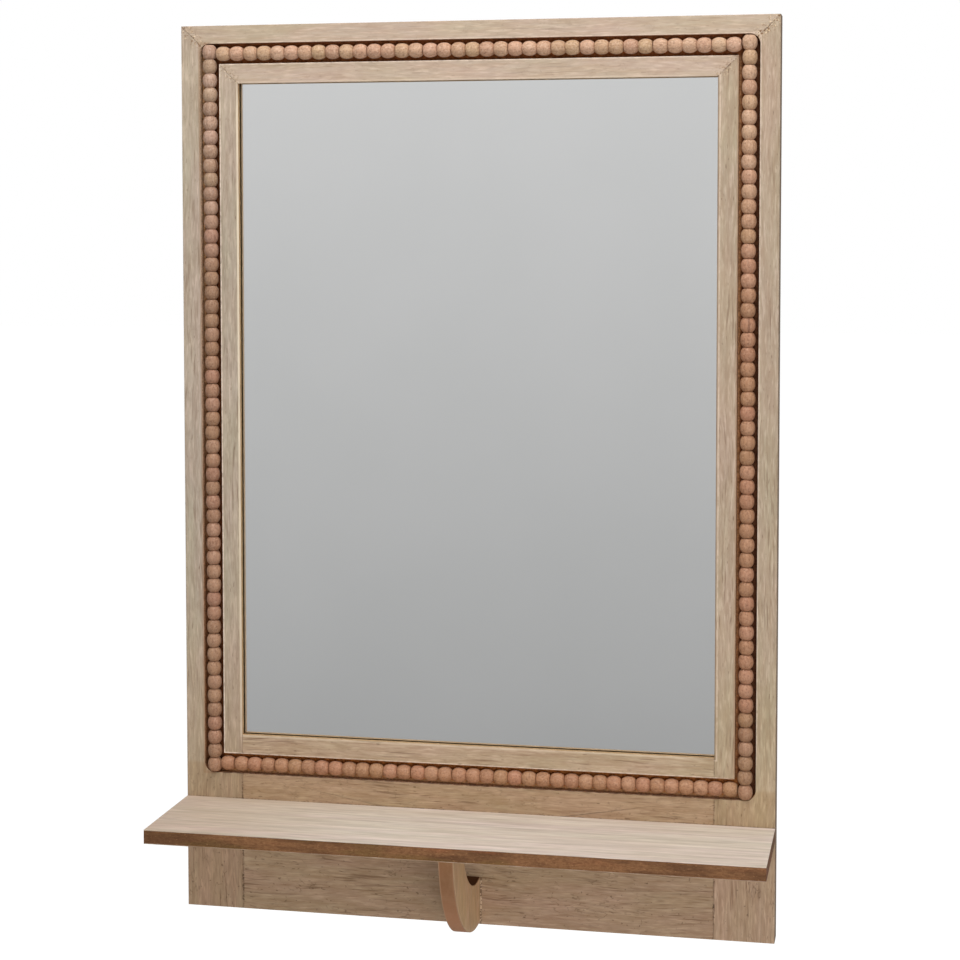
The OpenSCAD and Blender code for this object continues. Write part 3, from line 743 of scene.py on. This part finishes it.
def bead_profile():
    """(radius, height) from one end of the hole to the other, round the outside."""
    half = BEAD_L / 2
    power = 2 / BEAD_SQUARENESS
    end = math.asin(BEAD_WHOLE ** (-1 / power))

    # The flat ends are dished a little towards the hole
    flat = BEAD_R * math.cos(end) ** power - 0.0003
    at_flat, at_hole = half * 0.995, half * 0.99
    points = [(BEAD_HOLE, -at_hole), (flat, -at_flat)]
    for i in range(BEAD_RINGS):
        angle = end * (2 * i / (BEAD_RINGS - 1) - 1)
        up = math.copysign(abs(math.sin(angle)) ** power, math.sin(angle))
        points.append((BEAD_R * math.cos(angle) ** power, half * BEAD_WHOLE * up))
    return points + [(flat, at_flat), (BEAD_HOLE, at_hole)]


def bead_row(name, along, places, seed):
    """A row of beads as one mesh. along turns a bead's own Z to the row's direction."""
    rng = random.Random(seed)
    profile = bead_profile()
    verts, faces, own, pick, end = [], [], [], [], []
    for centre in places:
        wide = 1 + rng.uniform(*WIDER)
        tall = 1 + rng.uniform(*LONGER)
        spin = rng.uniform(0, 2 * math.pi)
        tilt = Euler((rng.uniform(*TILT), rng.uniform(*TILT), 0))
        slide = Vector((rng.uniform(*SLIDE_X), rng.uniform(*SLIDE_Y), 0))
        chosen = (rng.random(), rng.random(), rng.random())
        offset = Vector((rng.uniform(-1, 1), rng.uniform(-1, 1), rng.uniform(-1, 1)))
        if chosen[2] >= STREAKED:
            offset = Vector()
        turn = along @ tilt.to_matrix()
        grain = Matrix.Rotation(spin, 3, "Z")
        first = len(verts)
        for radius, height in profile:
            for k in range(BEAD_SIDES):
                angle = 2 * math.pi * k / BEAD_SIDES
                across = radius * wide
                local = Vector((across * math.cos(angle), across * math.sin(angle), height * tall))
                verts.append(centre + slide + turn @ local)
                own.append(grain @ local + offset)
                pick.append(chosen)
                end.append(abs(height) / (BEAD_L / 2))
        for j in range(len(profile)):
            this = first + j * BEAD_SIDES
            after = first + (j + 1) % len(profile) * BEAD_SIDES
            for k in range(BEAD_SIDES):
                beside = (k + 1) % BEAD_SIDES
                faces.append((this + k, this + beside, after + beside, after + k))
    mesh = bpy.data.meshes.new(name)
    mesh.from_pydata(verts, [], faces)
    for attribute, values in (("bead_place", own), ("bead_pick", pick)):
        layer = mesh.attributes.new(attribute, "FLOAT_VECTOR", "POINT")
        layer.data.foreach_set("vector", [c for value in values for c in value])
    mesh.attributes.new("bead_end", "FLOAT", "POINT").data.foreach_set("value", end)
    mesh.shade_smooth()
    mesh.materials.append(BEAD)
    return add_object(name, mesh)


def row_places(centre, axis, run, count):
    """The centres of so many beads, spread evenly over a run."""
    step = run / count
    return [Vector(centre) + Vector(axis) * (step * (i + 0.5) - run / 2) for i in range(count)]


GROOVE_MID_Z = (GROOVE_MID_LOW + GROOVE_MID_HIGH) / 2
LEFT_ROW = row_places((-GROOVE_MID_X, BEAD_Y, GROOVE_MID_Z), (0, 0, 1), UPRIGHT_RUN, UPRIGHT_COUNT)
RIGHT_ROW = row_places((GROOVE_MID_X, BEAD_Y, GROOVE_MID_Z), (0, 0, 1), UPRIGHT_RUN, UPRIGHT_COUNT)
TOP_ROW = row_places((0, BEAD_Y, GROOVE_MID_HIGH), (1, 0, 0), LEVEL_RUN, LEVEL_COUNT)
BOTTOM_ROW = row_places((0, BEAD_Y, GROOVE_MID_LOW), (1, 0, 0), LEVEL_RUN, LEVEL_COUNT)
STANDING = Matrix.Identity(3)
LYING = Matrix.Rotation(math.pi / 2, 3, "Y")
ROWS = (
    ("beads_left", STANDING, LEFT_ROW, 11),
    ("beads_right", STANDING, RIGHT_ROW, 12),
    ("beads_top", LYING, TOP_ROW, 13),
    ("beads_bottom", LYING, BOTTOM_ROW, 14),
)
for node, along, places, seed in ROWS:
    row = bead_row("turned_" + node, along, places, seed)
    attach(row, "root")
    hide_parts(node)


# ---- silvering, just inside the pane's back ----

SILVER_INSET = 0.00003
pane_low, pane_high = box("mirror_glass")
silver_y = pane_high.y - SILVER_INSET
silver_corners = [(pane_low.x, silver_y, pane_low.z), (pane_high.x, silver_y, pane_low.z),
                  (pane_high.x, silver_y, pane_high.z), (pane_low.x, silver_y, pane_high.z)]
silvering = four_sided("silvering", silver_corners, silvered())
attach(silvering, "root")


# ---- CAD pieces ----

BOARDS = ("left_stile", "right_stile", "top_rail", "bottom_rail")
BOARD_VENEERS = ("left_stile_veneer", "right_stile_veneer", "top_rail_veneer", "bottom_rail_veneer")
PLATES = ("left_hanger_plate", "right_hanger_plate")
LOOKS = (
    (LEFT_VENEER, ("left_stile_veneer",)),
    (RIGHT_VENEER, ("right_stile_veneer",)),
    (TOP_VENEER, ("top_rail_veneer",)),
    (BOTTOM_VENEER, ("bottom_rail_veneer",)),
    (SHELF_VENEER, ("shelf_top_veneer",)),
    (UNDERSIDE_VENEER, ("shelf_bottom_veneer",)),
    (BRACKET_VENEER, ("bracket_left_veneer", "bracket_right_veneer")),
    (FRAME_BOARD, BOARDS),
    (SHELF_BOARD, ("shelf_core",)),
    (BRACKET_BOARD, ("bracket_core",)),
    (dowel_wood(), ("rail_dowels", "bracket_dowels")),
    (float_glass(), ("mirror_glass",)),
    (hardboard(), ("back_panel",)),
    (ZINC, ("mitre_nails", "glazing_points", "hanger_screws") + PLATES),
    (BRASSY, ("shelf_screws", "bracket_screws")),
    (twine(), ("string_left", "string_right", "string_top", "string_bottom")),
)
for material, nodes in LOOKS:
    for node in nodes:
        for slot in NODES[node].material_slots:
            slot.link = "OBJECT"
            slot.material = material

BEVELS = ((0.0003, BOARDS + BOARD_VENEERS), (0.0002, PLATES))
WELD_WITHIN = 0.00001
for width, nodes in BEVELS:
    for node in nodes:
        weld = NODES[node].modifiers.new("Weld", "WELD")
        weld.merge_threshold = WELD_WITHIN
        bevel = NODES[node].modifiers.new("Bevel", "BEVEL")
        bevel.width = width
        bevel.segments = 2
        bevel.limit_method = "ANGLE"
        bevel.angle_limit = math.radians(40)


# ---- stage ----

FLOOR_Z = -1.0
FLOOR_HALF = 30.0


def pale_floor():
    """Nearly white to the camera, and not there for the mirror."""
    t = Tree("pale_floor")
    cloud = t.step(t.noise(t.place(), 1.5, 2.0), 0.3, 0.7)
    pale = t.blend(cloud, (0.90, 0.90, 0.90, 1), (0.88, 0.88, 0.88, 1))
    diffuse = t.add("ShaderNodeBsdfDiffuse", {"Color": pale})
    strength = t.product(t.ray("Is Camera Ray"), 0.64)
    glow = t.add("ShaderNodeEmission", {"Color": (1, 1, 1, 1), "Strength": strength})
    lit = t.add("ShaderNodeAddShader", {0: diffuse, 1: glow})
    clear = t.add("ShaderNodeBsdfTransparent", {})
    surface = t.add("ShaderNodeMixShader", {0: t.mirror_ray(), 1: lit, 2: clear})
    t.add("ShaderNodeOutputMaterial", {"Surface": surface})
    return t.owner


def studio():
    """A plain room: white to the camera, soft fill for the light, and for the mirror a grey that is darker
    below."""
    t = Tree("studio", bpy.data.worlds)
    up = t.part(t.add("ShaderNodeTexCoord", {}, out="Generated"), "Z")
    rise = t.add("ShaderNodeMapRange", {"Value": up, "From Min": -0.25, "From Max": 0.07})
    grey = t.math("ADD", t.product(t.math("POWER", rise, 0.92), 0.265), 0.376)
    fill = t.step(up, -0.2, 1.0, 0.28, 0.46)
    unseen = t.number(t.mirror_ray(), fill, grey)
    strength = t.number(t.ray("Is Camera Ray"), unseen, 1.0)
    light = t.add("ShaderNodeBackground", {"Color": (1, 1, 1, 1), "Strength": strength})
    t.add("ShaderNodeOutputWorld", {"Surface": light})
    return t.owner


floor_corners = [(-FLOOR_HALF, -FLOOR_HALF, FLOOR_Z), (FLOOR_HALF, -FLOOR_HALF, FLOOR_Z),
                 (FLOOR_HALF, FLOOR_HALF, FLOOR_Z), (-FLOOR_HALF, FLOOR_HALF, FLOOR_Z)]
floor = four_sided("floor", floor_corners, pale_floor())
bpy.context.scene.world = studio()


# ---- camera and light ----

# The camera as solved from the photograph's straight edges, with its angles in radians
CAMERA_AT = (0.35255, -1.70033, 0.58012)
CAMERA_TO_LEFT = 0.2032
CAMERA_DOWN = 0.0545
CAMERA_ROLL = -0.0007

cam_data = bpy.data.cameras.new("photo_view")
cam_data.sensor_width = 36.0
cam_data.lens = 78.32
cam_data.shift_y = -0.1432
cam_data.clip_end = 100
camera = add_object("photo_view", cam_data)
aim = Matrix.Rotation(CAMERA_TO_LEFT, 3, "Z") @ Matrix.Rotation(math.pi / 2 - CAMERA_DOWN, 3, "X")
aim = aim @ Matrix.Rotation(CAMERA_ROLL, 3, "Z")
camera.matrix_world = Matrix.Translation(CAMERA_AT) @ aim.to_4x4()
bpy.context.scene.camera = camera


def softbox(name, at, towards, size, watts):
    data = bpy.data.lights.new(name, "AREA")
    data.shape = "RECTANGLE"
    data.size, data.size_y = size
    data.energy = watts
    lamp = add_object(name, data)
    lamp.location = at
    lamp.rotation_euler = (Vector(towards) - Vector(at)).to_track_quat("-Z", "Y").to_euler()


softbox("key_light", (0.05, -0.85, 2.0), (0, 0, 0.4), (1.2, 0.8), 27)
softbox("side_light", (2.0, -1.7, 0.15), (0, 0, 0.3), (1.0, 1.3), 6)
softbox("front_light", (0.60, -1.45, 0.10), (0, 0, 0.3), (0.7, 0.7), 7.2)

bpy.context.scene.view_settings.view_transform = "Standard"
